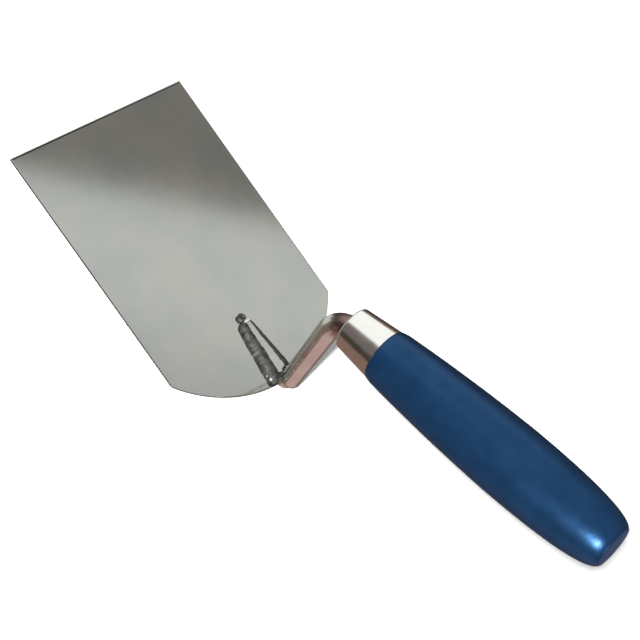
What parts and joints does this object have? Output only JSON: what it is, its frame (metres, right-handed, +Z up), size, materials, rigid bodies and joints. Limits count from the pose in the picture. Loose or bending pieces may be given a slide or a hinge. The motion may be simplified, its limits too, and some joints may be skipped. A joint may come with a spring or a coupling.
{
  "type": "flat-blade plasterer's trowel",
  "caption": "Hand trowel with a flat, nearly rectangular polished steel blade, a rounded heel, a welded cranked round-bar neck, a conical ferrule and a blue turned wooden handle.",
  "frame": {"origin": "centre of the blade's flat underside, midway between the front edge and the heel's furthest point", "axes": "+X along the blade from its front edge towards the handle, +Y across the blade, +Z up from the underside, on the handle's side; symmetric across the plane y = 0"},
  "size_m": [0.2715, 0.0994, 0.1182],
  "materials": {
    "blade_steel": "satin polished stainless steel with fine grinding marks",
    "tang_steel": "polished bar with a faint warm heat tint",
    "weld_metal": "dark rippled weld bead, oxidised, with brighter crests",
    "ferrule_steel": "bright polished drawn metal",
    "handle_paint": "blue satin lacquer over turned wood, fine turning marks"
  },
  "bodies": {
    "root": {"blade": "blade_steel", "tang": "tang_steel", "weld_left": "weld_metal", "weld_right": "weld_metal", "weld_tip": "weld_metal", "ferrule": "ferrule_steel", "handle": "handle_paint"}
  },
  "joints": []
}
